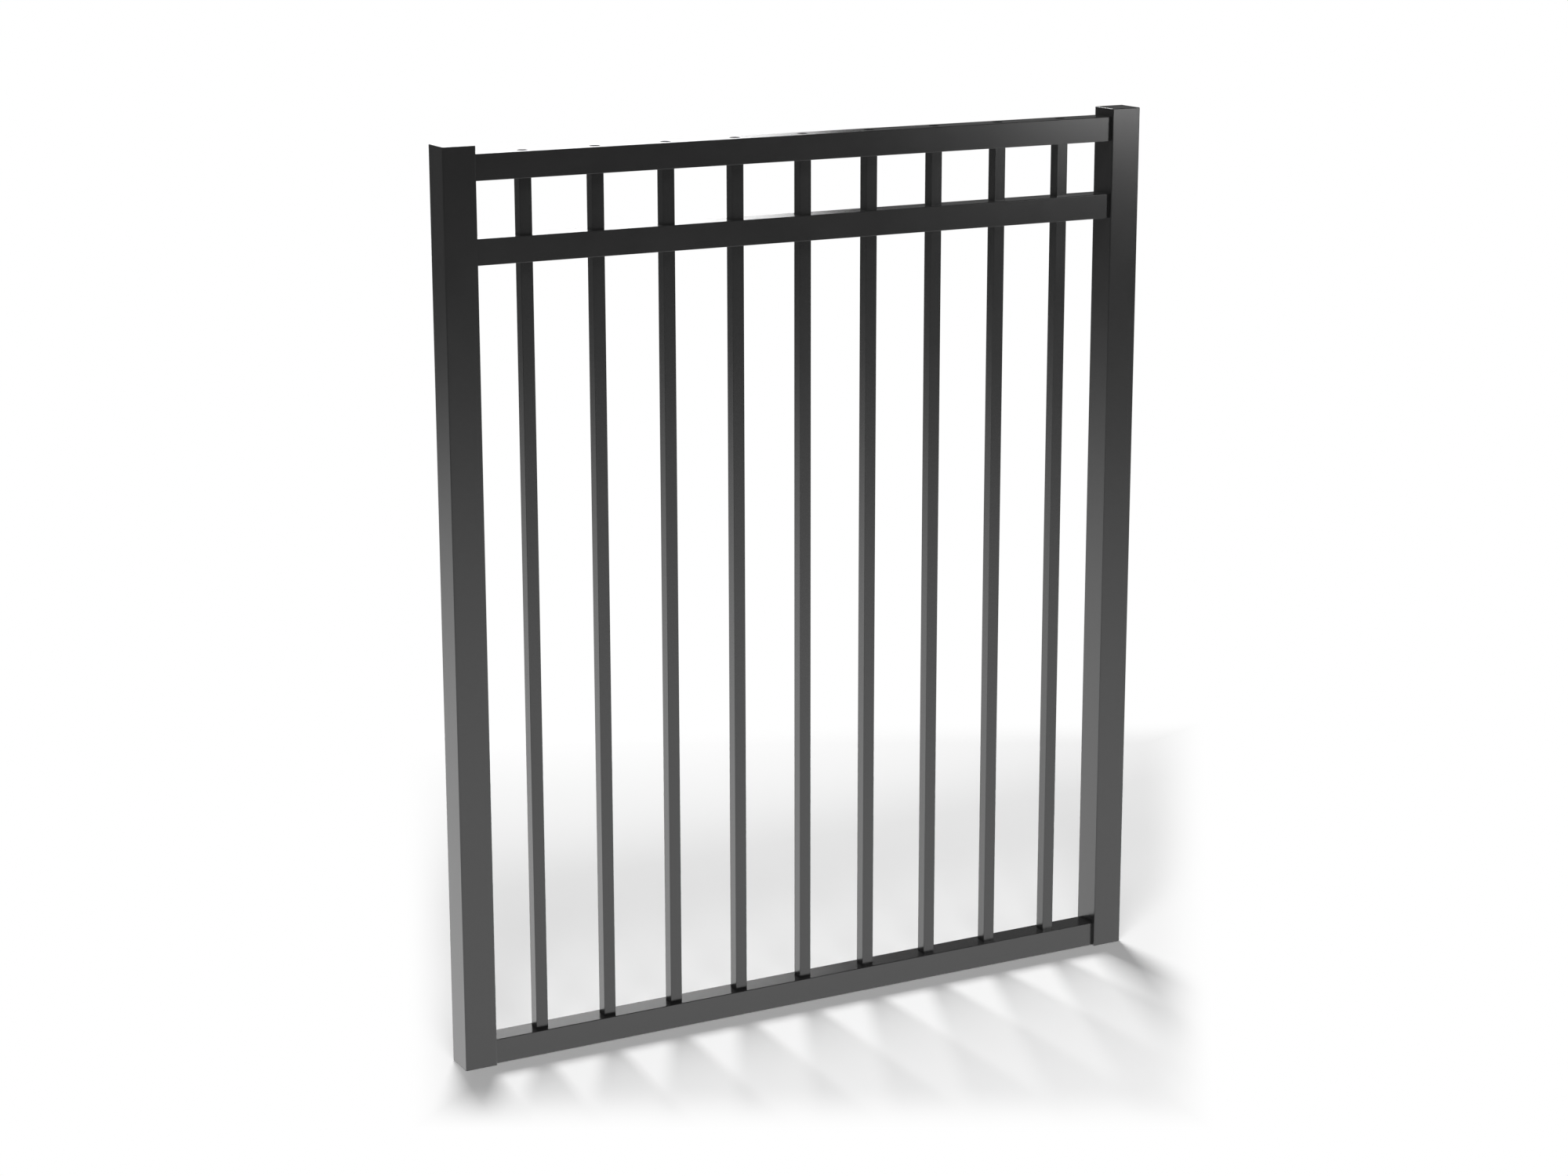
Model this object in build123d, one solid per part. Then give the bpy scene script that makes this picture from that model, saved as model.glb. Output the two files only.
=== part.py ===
# Pool gate leaf: two square uprights, three channel rails and a row of square pickets, made of
# extruded aluminium with a black powder coat, and closed with caps at the ends of the uprights.
# Millimetres. The origin is on the hinge side's outer face, at the foot of the upright and midway
# through its depth. X runs along the gate to the latch side, Y from the front to the back, Z up.

import os
from math import ceil

from build123d import *

# Overall sizes
leaf_width = 1181.1  # 46 1/2 in, for a 48 in opening
leaf_height = 1384.3  # 54 1/2 in, from the foot to the top of the caps

# Uprights: 2 in square tube
upright_side = 50.8
upright_wall = 3.175
upright_corner = 1.5
upright_bore_corner = 0.8

# Caps: a plate that lies on the tube's end, and a hollow skirt inside the tube
cap_plate = 3.0
cap_edge = 1.2
skirt_depth = 14.0
skirt_wall = 2.0
skirt_clearance = 0.2

# Rails: channels that open downwards, 1 1/2 in high and 1 1/2 in deep
rail_height = 38.1
rail_depth = 38.1
rail_web = 1.8
rail_side_wall = 2.5
rail_corner = 1.0
rail_bore_corner = 0.8
rail_lip_round = 0.6

# Heights of the rails: the bottom rail is level with the feet of the uprights
top_rail_drop = 12.7  # from the top of the caps to the top rail
upper_window = 82.55  # clear height between the top rail and the middle rail

# Pickets: 3/4 in square tube, with no gap wider than 3 3/4 in
picket_side = 19.05
picket_wall = 1.4
picket_corner = 0.8
picket_bore_corner = 0.4
picket_gap = 95.25
picket_lift = 1.5  # from the lower edge of the bottom rail to the pickets' ends
window_clearance = 0.25  # between a picket and the punched window that it passes through
top_hole_diameter = 15.875  # round hole in the top rail over each picket

# Places along the gate
clear_width = leaf_width - 2 * upright_side
middle_of_gate = leaf_width / 2
picket_pitch = picket_side + picket_gap
picket_count = ceil((clear_width - picket_gap) / picket_pitch)
first_picket = middle_of_gate - (picket_count - 1) * picket_pitch / 2
picket_places = [first_picket + index * picket_pitch for index in range(picket_count)]

# Heights of the pieces
tube_top = leaf_height - cap_plate
top_rail_base = leaf_height - top_rail_drop - rail_height
middle_rail_base = top_rail_base - upper_window - rail_height
bottom_rail_base = 0
picket_base = bottom_rail_base + picket_lift
picket_top = top_rail_base + rail_height - rail_web


def square_tube(side, wall, corner, bore_corner, length):
    """A square tube that stands on the XY plane, centred on Z."""
    bore = side - 2 * wall
    section = RectangleRounded(side, side, corner) - RectangleRounded(bore, bore, bore_corner)
    return extrude(section, length)


def rounded_square_bar(side, corner, length):
    """A solid square bar that stands on the XY plane, centred on Z."""
    return extrude(RectangleRounded(side, side, corner), length)


def upright():
    return square_tube(upright_side, upright_wall, upright_corner, upright_bore_corner, tube_top)


def skirt():
    """The hollow square that holds a cap or a plug in the end of an upright."""
    side = upright_side - 2 * upright_wall - 2 * skirt_clearance
    bore_corner = upright_bore_corner / 2
    return square_tube(side, skirt_wall, upright_bore_corner, bore_corner, skirt_depth)


def top_cap():
    """A cap whose plate takes the outline of the tube, with its top edge rounded."""
    plate = rounded_square_bar(upright_side, upright_corner, cap_plate)
    plate = fillet(plate.faces().sort_by(Axis.Z)[-1].edges(), cap_edge)
    return plate + Pos(0, 0, -skirt_depth) * skirt()


def foot_plug():
    """A plug that lies inside the tube, with its closed face level with the tube's end."""
    side = upright_side - 2 * upright_wall - 2 * skirt_clearance
    return rounded_square_bar(side, upright_bore_corner, cap_plate) + Pos(0, 0, cap_plate) * skirt()


def rail_channel():
    """The plain rail: a channel section run along X from one upright to the other."""
    outside = Rectangle(rail_depth, rail_height, align=(Align.CENTER, Align.MIN))
    outside = fillet(outside.vertices().group_by(Axis.Y)[-1], rail_corner)
    bore_depth = rail_depth - 2 * rail_side_wall
    bore = Rectangle(bore_depth, rail_height - rail_web, align=(Align.CENTER, Align.MIN))
    bore = fillet(bore.vertices().group_by(Axis.Y)[-1], rail_bore_corner)
    section = outside - bore
    section = fillet(section.vertices().group_by(Axis.Y)[0], rail_lip_round)
    return Pos(upright_side, 0, 0) * extrude(Plane.YZ * section, clear_width)


def punched_rail():
    """A rail with a square window in its web for each picket to pass through."""
    window_side = picket_side + 2 * window_clearance
    window_corner = picket_corner + window_clearance
    window = rounded_square_bar(window_side, window_corner, rail_height)
    windows = [Pos(place, 0, rail_height / 2) * window for place in picket_places]
    return rail_channel() - windows


def drilled_rail():
    """The top rail, with a round hole in its web over each picket."""
    hole = Cylinder(top_hole_diameter / 2, rail_height)
    holes = [Pos(place, 0, rail_height) * hole for place in picket_places]
    return rail_channel() - holes


def picket():
    length = picket_top - picket_base
    return square_tube(picket_side, picket_wall, picket_corner, picket_bore_corner, length)


# The pieces in their places
nodes = {}

for name, place in (("left", upright_side / 2), ("right", leaf_width - upright_side / 2)):
    nodes[name + "_upright"] = Pos(place, 0, 0) * upright()
    nodes[name + "_top_cap"] = Pos(place, 0, tube_top) * top_cap()
    nodes[name + "_foot_plug"] = Pos(place, 0, 0) * foot_plug()

nodes["top_rail"] = Pos(0, 0, top_rail_base) * drilled_rail()
nodes["middle_rail"] = Pos(0, 0, middle_rail_base) * punched_rail()
nodes["bottom_rail"] = Pos(0, 0, bottom_rail_base) * punched_rail()

for number, place in enumerate(picket_places, start=1):
    nodes["picket_" + str(number)] = Pos(place, 0, picket_base) * picket()

os.makedirs("parts", exist_ok=True)
for name, solid in nodes.items():
    export_step(solid, "parts/" + name + ".step")
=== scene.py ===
import math

import bmesh
import bpy
from mathutils import Matrix, Vector


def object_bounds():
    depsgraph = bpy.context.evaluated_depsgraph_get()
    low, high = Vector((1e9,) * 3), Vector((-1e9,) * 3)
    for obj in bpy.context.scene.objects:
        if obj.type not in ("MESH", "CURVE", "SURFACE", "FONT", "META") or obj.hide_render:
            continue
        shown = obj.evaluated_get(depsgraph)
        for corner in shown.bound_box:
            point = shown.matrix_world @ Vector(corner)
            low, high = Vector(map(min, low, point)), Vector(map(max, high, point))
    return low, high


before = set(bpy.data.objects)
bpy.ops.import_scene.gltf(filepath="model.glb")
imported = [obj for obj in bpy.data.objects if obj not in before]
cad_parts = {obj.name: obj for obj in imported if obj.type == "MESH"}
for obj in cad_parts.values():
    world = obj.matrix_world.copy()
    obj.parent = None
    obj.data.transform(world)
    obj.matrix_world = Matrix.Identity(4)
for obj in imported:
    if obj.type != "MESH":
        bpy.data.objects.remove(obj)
cad_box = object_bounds()
scene = bpy.context.scene
scene.view_settings.view_transform = "Standard"


# Uprights: two 2 in square tubes of extruded aluminium that run the full height of the leaf.
# They are cut square, welded to the ends of the rails, and powder coated in gloss black with them.


def linear(code):
    """Turns an sRGB hex colour into the linear colour that a shader socket takes."""
    shares = [int(code[place:place + 2], 16) / 255 for place in (1, 3, 5)]
    return [s / 12.92 if s <= 0.04045 else ((s + 0.055) / 1.055) ** 2.4 for s in shares] + [1.0]


def add_node(tree, kind, inputs, **settings):
    """Adds a node, sets its properties, and fills its inputs with values or with links from other nodes."""
    node = tree.nodes.new(kind)
    for name, value in settings.items():
        setattr(node, name, value)
    for name, value in inputs.items():
        if isinstance(value, bpy.types.NodeSocket):
            tree.links.new(value, node.inputs[name])
        else:
            node.inputs[name].default_value = value
    return node


def new_material(name):
    material = bpy.data.materials.new(name)
    material.use_nodes = True
    material.node_tree.nodes.clear()
    return material


def scale_for(millimetres):
    """The texture scale at which the features of noise are about this wide."""
    return 1000 / millimetres


def powder_coat(name, run):
    """Gloss black polyester powder, sprayed dry and baked: a deep black film with a glassy skin, a faint
    orange peel, and the die lines of the extrusion under it, which run along the piece."""
    darkest_film = linear("#1e1e1e")
    palest_film = linear("#222222")
    smoothest_film = 0.21
    roughest_film = 0.25
    skin_roughness = 0.2
    polyester_ior = 1.5
    relief = 0.000002
    material = new_material(name)
    tree = material.node_tree
    place = add_node(tree, "ShaderNodeTexCoord", {}).outputs["Object"]

    # The film varies a little in thickness, in clouds about as wide as the pass of a spray gun's tip.
    cloud = add_node(tree, "ShaderNodeTexNoise", {
        "Vector": place, "Scale": scale_for(70), "Detail": 2.0, "Roughness": 0.5,
    })
    film = add_node(tree, "ShaderNodeMix", {
        "Factor": cloud.outputs["Fac"], "A": darkest_film, "B": palest_film,
    }, data_type="RGBA")
    sheen = add_node(tree, "ShaderNodeMapRange", {
        "Value": cloud.outputs["Fac"], "From Min": 0.3, "From Max": 0.7,
        "To Min": smoothest_film, "To Max": roughest_film,
    })

    # Orange peel is about 2 mm across on the real film, and is drawn at twice that to show at all.
    peel = add_node(tree, "ShaderNodeTexNoise", {
        "Vector": place, "Scale": scale_for(4), "Detail": 1.0, "Roughness": 0.4,
    })
    along = scale_for(400)
    across = scale_for(1.5)
    stretch = [along if axis == run else across for axis in "XYZ"]
    lines_at = add_node(tree, "ShaderNodeMapping", {"Vector": place, "Scale": stretch})
    lines = add_node(tree, "ShaderNodeTexNoise", {
        "Vector": lines_at.outputs["Vector"], "Scale": 1.0, "Detail": 1.0, "Roughness": 0.5,
    })
    line_bump = add_node(tree, "ShaderNodeBump", {
        "Height": lines.outputs["Fac"], "Strength": 1.0, "Distance": relief,
    })
    peel_bump = add_node(tree, "ShaderNodeBump", {
        "Height": peel.outputs["Fac"], "Normal": line_bump.outputs["Normal"], "Strength": 1.0,
        "Distance": relief,
    })

    film_shader = add_node(tree, "ShaderNodeBsdfPrincipled", {
        "Base Color": film.outputs["Result"], "Roughness": sheen.outputs["Result"], "IOR": polyester_ior,
        "Coat Weight": 1.0, "Coat Roughness": skin_roughness, "Coat IOR": polyester_ior,
        "Normal": peel_bump.outputs["Normal"], "Coat Normal": peel_bump.outputs["Normal"],
    })
    add_node(tree, "ShaderNodeOutputMaterial", {"Surface": film_shader.outputs["BSDF"]})
    return material


def dress(node, material):
    """Gives a CAD node its finish."""
    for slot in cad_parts[node].material_slots:
        slot.material = material


upright_coat = powder_coat("black_powder_coat_on_upright_tube", "Z")
for side in ("left", "right"):
    dress(side + "_upright", upright_coat)


# Top caps: flat cast aluminium plates with a skirt, pressed into the open tops of the uprights.
# They are coated with the leaf, so the film runs over the seam between cap and tube.

cap_coat = powder_coat("black_powder_coat_on_cast_cap", "X")
for side in ("left", "right"):
    dress(side + "_top_cap", cap_coat)


# Foot plugs: black nylon, injection moulded, pushed into the lower ends of the uprights.
# They keep water and insects out of the tubes, and show only from below.


def moulded_nylon(name):
    """Black nylon from a spark-eroded mould: dull, with a fine even grain."""
    darkest_nylon = linear("#1f1f1f")
    palest_nylon = linear("#272727")
    grain_height = 0.00004
    material = new_material(name)
    tree = material.node_tree
    place = add_node(tree, "ShaderNodeTexCoord", {}).outputs["Object"]
    grain = add_node(tree, "ShaderNodeTexNoise", {
        "Vector": place, "Scale": scale_for(0.8), "Detail": 3.0, "Roughness": 0.6,
    })
    tint = add_node(tree, "ShaderNodeMix", {
        "Factor": grain.outputs["Fac"], "A": darkest_nylon, "B": palest_nylon,
    }, data_type="RGBA")
    grain_bump = add_node(tree, "ShaderNodeBump", {
        "Height": grain.outputs["Fac"], "Strength": 1.0, "Distance": grain_height,
    })
    shader = add_node(tree, "ShaderNodeBsdfPrincipled", {
        "Base Color": tint.outputs["Result"], "Roughness": 0.55, "IOR": 1.53,
        "Normal": grain_bump.outputs["Normal"],
    })
    add_node(tree, "ShaderNodeOutputMaterial", {"Surface": shader.outputs["BSDF"]})
    return material


plug_nylon = moulded_nylon("black_moulded_nylon")
for side in ("left", "right"):
    dress(side + "_foot_plug", plug_nylon)


# Rails: extruded aluminium channels, open below, welded between the uprights.
# The lower two are punched with square windows for the pickets, the top one is drilled over each of them.

rail_coat = powder_coat("black_powder_coat_on_rail_channel", "X")
for name in ("bottom_rail", "middle_rail", "top_rail"):
    dress(name, rail_coat)


# Pickets: 3/4 in square tubes of extruded aluminium, threaded up through the punched rails.
# They end against the web of the top rail, and are coated in place with the rest of the leaf.

picket_coat = powder_coat("black_powder_coat_on_picket_tube", "Z")
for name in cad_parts:
    if name.startswith("picket_"):
        dress(name, picket_coat)


# Floor: plain pale vinyl, lit by the lamps so that it keeps the shadow of the leaf.
# Round the patch that the shadow falls on it burns out to white. It is clear from below, to show the feet.

low, high = cad_box
middle = (low + high) / 2
floor_drop = 0.0006
floor_radius = 9.0
floor_level = low.z - floor_drop


def stage_piece(name, shape):
    """Turns a shape into an object of its own and links it into the scene."""
    mesh = bpy.data.meshes.new(name)
    shape.to_mesh(mesh)
    shape.free()
    piece = bpy.data.objects.new(name, mesh)
    scene.collection.objects.link(piece)
    return piece


def round_stage(name, profile):
    """A surface turned about the middle of the leaf, from a profile of radii and heights."""
    shape = bmesh.new()
    points = [shape.verts.new((middle.x + radius, middle.y, height)) for radius, height in profile]
    edges = [shape.edges.new(pair) for pair in zip(points, points[1:])]
    bmesh.ops.spin(
        shape, geom=points + edges, cent=(middle.x, middle.y, 0), axis=(0, 0, 1),
        angle=2 * math.pi, steps=96, use_merge=True,
    )
    bmesh.ops.remove_doubles(shape, verts=shape.verts, dist=0.001)
    return stage_piece(name, shape)


def seen_directly(tree):
    """1 for rays from the eye and for rays by way of gloss or glass, 0 for rays that carry light."""
    path = add_node(tree, "ShaderNodeLightPath", {})
    mirrored = add_node(tree, "ShaderNodeMath", {
        0: path.outputs["Is Glossy Ray"], 1: path.outputs["Is Transmission Ray"],
    }, operation="MAXIMUM")
    return add_node(tree, "ShaderNodeMath", {
        0: path.outputs["Is Camera Ray"], 1: mirrored.outputs["Value"],
    }, operation="MAXIMUM").outputs["Value"]


def outside_shadow_patch(tree):
    """0 on the patch of floor that the shadows of the leaf fall on, rising softly to 1 round it.
    The patch runs back at an angle from just in front of the leaf, and widens a little as it goes."""
    turn = math.radians(28.5)
    middle_of_width = 0.53
    front_half_width = 0.61
    widening = 0.12
    middle_of_length = 0.8
    half_length = 1.05
    soft_from = 0.83
    place = add_node(tree, "ShaderNodeTexCoord", {}).outputs["Object"]
    turned = add_node(tree, "ShaderNodeMapping", {"Vector": place, "Rotation": (0, 0, turn)})
    apart = add_node(tree, "ShaderNodeSeparateXYZ", {"Vector": turned.outputs["Vector"]})
    sideways = apart.outputs["X"]
    back = apart.outputs["Y"]
    half_width = add_node(tree, "ShaderNodeMath", {
        0: back, 1: widening, 2: front_half_width,
    }, operation="MULTIPLY_ADD").outputs["Value"]
    edges = []
    for way, centre, half in ((sideways, middle_of_width, half_width), (back, middle_of_length, half_length)):
        offset = add_node(tree, "ShaderNodeMath", {0: way, 1: centre}, operation="SUBTRACT")
        distance = add_node(tree, "ShaderNodeMath", {0: offset.outputs["Value"]}, operation="ABSOLUTE")
        share = add_node(tree, "ShaderNodeMath", {0: distance.outputs["Value"], 1: half}, operation="DIVIDE")
        edge = add_node(tree, "ShaderNodeMapRange", {
            "Value": share.outputs["Value"],
            "From Min": soft_from, "From Max": 1.0, "To Min": 0.0, "To Max": 1.0,
        }, interpolation_type="SMOOTHSTEP")
        edges.append(edge.outputs["Result"])
    return add_node(tree, "ShaderNodeMath", dict(enumerate(edges)), operation="MAXIMUM").outputs["Value"]


def pale_floor(name):
    """Vinyl painted greyer towards the main lamp, so that the floor is about evenly bright: the grey cancels
    the lamp's brighter light at the back, and paints a little shade on the floor behind the leaf.
    """
    front_vinyl = linear("#fbfbfb")
    painted_shade_back_vinyl = linear("#d6d6d6")
    grade_front = -0.6
    grade_back = 0.7
    material = new_material(name)
    tree = material.node_tree
    burnt_out = add_node(tree, "ShaderNodeMath", {
        0: outside_shadow_patch(tree), 1: seen_directly(tree),
    }, operation="MULTIPLY")
    place = add_node(tree, "ShaderNodeTexCoord", {}).outputs["Object"]
    apart = add_node(tree, "ShaderNodeSeparateXYZ", {"Vector": place})
    # Painted light and shade: the vinyl's colour greys from front to back, standing in for the fall of the
    # main lamp's light.
    towards_back = add_node(tree, "ShaderNodeMapRange", {
        "Value": apart.outputs["Y"],
        "From Min": grade_front, "From Max": grade_back, "To Min": 0.0, "To Max": 1.0,
    })
    painted_shade_grade = add_node(tree, "ShaderNodeMix", {
        "Factor": towards_back.outputs["Result"], "A": front_vinyl, "B": painted_shade_back_vinyl,
    }, data_type="RGBA")
    vinyl = add_node(tree, "ShaderNodeBsdfDiffuse", {"Color": painted_shade_grade.outputs["Result"]})
    white = add_node(tree, "ShaderNodeEmission", {"Color": linear("#ffffff"), "Strength": 1.0})
    both = add_node(tree, "ShaderNodeMixShader", {
        "Fac": burnt_out.outputs["Value"], 1: vinyl.outputs["BSDF"], 2: white.outputs["Emission"],
    })
    from_below = add_node(tree, "ShaderNodeNewGeometry", {}).outputs["Backfacing"]
    clear = add_node(tree, "ShaderNodeBsdfTransparent", {})
    one_sided = add_node(tree, "ShaderNodeMixShader", {
        "Fac": from_below, 1: both.outputs["Shader"], 2: clear.outputs["BSDF"],
    })
    add_node(tree, "ShaderNodeOutputMaterial", {"Surface": one_sided.outputs["Shader"]})
    return material


floor = round_stage("studio_floor", ((0, floor_level), (floor_radius, floor_level)))
floor.data.materials.append(pale_floor("pale_vinyl_floor"))


# Room: the dark studio round the lit floor, whose glow near the leaf is a painted reflection of the lamp-lit
# floor, with a panel that leans along its back wall and glows white, a painted reflection, though it is no
# lamp.
# Both show in the gloss of the coat and nowhere else.

room_level = low.z - floor_drop / 2
ceiling = 6.0


def painted_floor_reflection_and_dark_room(name):
    """Painted reflection of the lamp-lit floor: a glow, pale near the leaf, where the lamps reach the floor,
    and dark further out.
    """
    brightest = (middle.x + 0.25, middle.y - 0.2, low.z)
    near_brightness = 1.03
    far_brightness = 0.095
    near = 0.4
    far = 7.6
    material = new_material(name)
    tree = material.node_tree
    place = add_node(tree, "ShaderNodeTexCoord", {}).outputs["Object"]
    distance = add_node(tree, "ShaderNodeVectorMath", {0: place, 1: brightest}, operation="DISTANCE")
    glow = add_node(tree, "ShaderNodeMapRange", {
        "Value": distance.outputs["Value"],
        "From Min": near, "From Max": far, "To Min": near_brightness, "To Max": far_brightness,
    }, interpolation_type="SMOOTHSTEP")
    surface = add_node(tree, "ShaderNodeEmission", {
        "Color": linear("#ffffff"), "Strength": glow.outputs["Result"],
    })
    add_node(tree, "ShaderNodeOutputMaterial", {"Surface": surface.outputs["Emission"]})
    return material


# Painted reflection: the panel glows white though it is no lamp, and shows only in the gloss of the coat.
def painted_reflection_glow(name):
    brightness = 2.67
    material = new_material(name)
    glow = add_node(material.node_tree, "ShaderNodeEmission", {
        "Color": linear("#ffffff"), "Strength": brightness,
    })
    add_node(material.node_tree, "ShaderNodeOutputMaterial", {"Surface": glow.outputs["Emission"]})
    return material


def leaning_panel(name):
    """A flat panel behind the leaf, whose upper edge lies further right than its lower one."""
    left = 0.64
    width = 2.0
    lean = 1.43
    behind = 6.0
    lower = 0.3
    upper = 2.35
    corners = ((left + width, lower), (left + width + lean, upper), (left + lean, upper), (left, lower))
    shape = bmesh.new()
    shape.faces.new([shape.verts.new((across, behind, height)) for across, height in corners])
    return stage_piece(name, shape)


room = round_stage("studio_room", (
    (0, room_level), (floor_radius, room_level), (floor_radius, ceiling), (0, ceiling),
))
room.data.materials.append(painted_floor_reflection_and_dark_room("painted_lit_floor_reflection_and_dark_room"))
back_panel = leaning_panel("back_panel")
back_panel.data.materials.append(painted_reflection_glow("painted_reflection_back_panel"))
for piece in (room, back_panel):
    piece.visible_camera = False
    piece.visible_diffuse = False
    piece.visible_transmission = False
    piece.visible_shadow = False


# Lamps: the main softbox stands behind the leaf, with a small one over it that draws the edge of a cap.
# Two more stand in front. The world adds a little even light, and is white to the eye.


def softbox(name, place, aim, width, height, brightness, shows_in):
    """An area lamp whose face has this brightness, where 1 is white. It shows in diffuse or glossy light."""
    lamp = bpy.data.lights.new(name, "AREA")
    lamp.shape = "RECTANGLE"
    lamp.size = width
    lamp.size_y = height
    lamp.energy = brightness * math.pi * width * height
    box = bpy.data.objects.new(name, lamp)
    scene.collection.objects.link(box)
    facing = (Vector(aim) - Vector(place)).to_track_quat("-Z", "Y")
    box.matrix_world = Matrix.Translation(place) @ facing.to_matrix().to_4x4()
    box.visible_camera = False
    box.visible_diffuse = "diffuse" in shows_in
    box.visible_glossy = "glossy" in shows_in


softbox(
    "key_softbox", place=(1.66, 4.3, 3.6), aim=(0.6, -0.3, 0.0),
    width=2.0, height=1.8, brightness=31.5, shows_in=("diffuse",),
)
softbox(
    "hair_softbox", place=(1.4, 3.8, 4.0), aim=(1.155, 0.0, 1.384),
    width=0.8, height=0.6, brightness=30.0, shows_in=("glossy",),
)
softbox(
    "front_left_softbox", place=(-0.52, -1.87, 5.2), aim=(0.6, 0.0, 0.0),
    width=1.4, height=1.4, brightness=20.0, shows_in=("diffuse",),
)
softbox(
    "front_right_softbox", place=(2.994, -2.552, 1.398), aim=(1.15, 0.0, 1.4),
    width=0.6, height=0.6, brightness=5.57, shows_in=("diffuse", "glossy"),
)

even_light = 0.05
studio = bpy.data.worlds.new("white_studio")
studio.use_nodes = True
studio.node_tree.nodes.clear()
fill = add_node(studio.node_tree, "ShaderNodeBackground", {
    "Color": linear("#ffffff"), "Strength": even_light,
})
white = add_node(studio.node_tree, "ShaderNodeBackground", {"Color": linear("#ffffff"), "Strength": 1.0})
sky = add_node(studio.node_tree, "ShaderNodeMixShader", {
    "Fac": seen_directly(studio.node_tree), 1: fill.outputs["Background"], 2: white.outputs["Background"],
})
add_node(studio.node_tree, "ShaderNodeOutputWorld", {"Surface": sky.outputs["Shader"]})
scene.world = studio


# Camera: a long lens, a little above the leaf and to the left of it.
# It looks down at the middle of the leaf, and the whole leaf is in the picture.

camera_place = (-1.7645, -4.2794, 1.8856)
camera_turn = math.radians(-28.49)
camera_dip = math.radians(13.949)
camera_roll = math.radians(-0.067)
lens = bpy.data.cameras.new("studio_camera")
lens.sensor_fit = "HORIZONTAL"
lens.sensor_width = 36.0
lens.lens = 74.814
lens.clip_end = 100.0
camera = bpy.data.objects.new("studio_camera", lens)
scene.collection.objects.link(camera)
camera.matrix_world = (
    Matrix.Translation(camera_place)
    @ Matrix.Rotation(camera_turn, 4, "Z")
    @ Matrix.Rotation(math.pi / 2 - camera_dip, 4, "X")
    @ Matrix.Rotation(camera_roll, 4, "Z")
)
scene.camera = camera
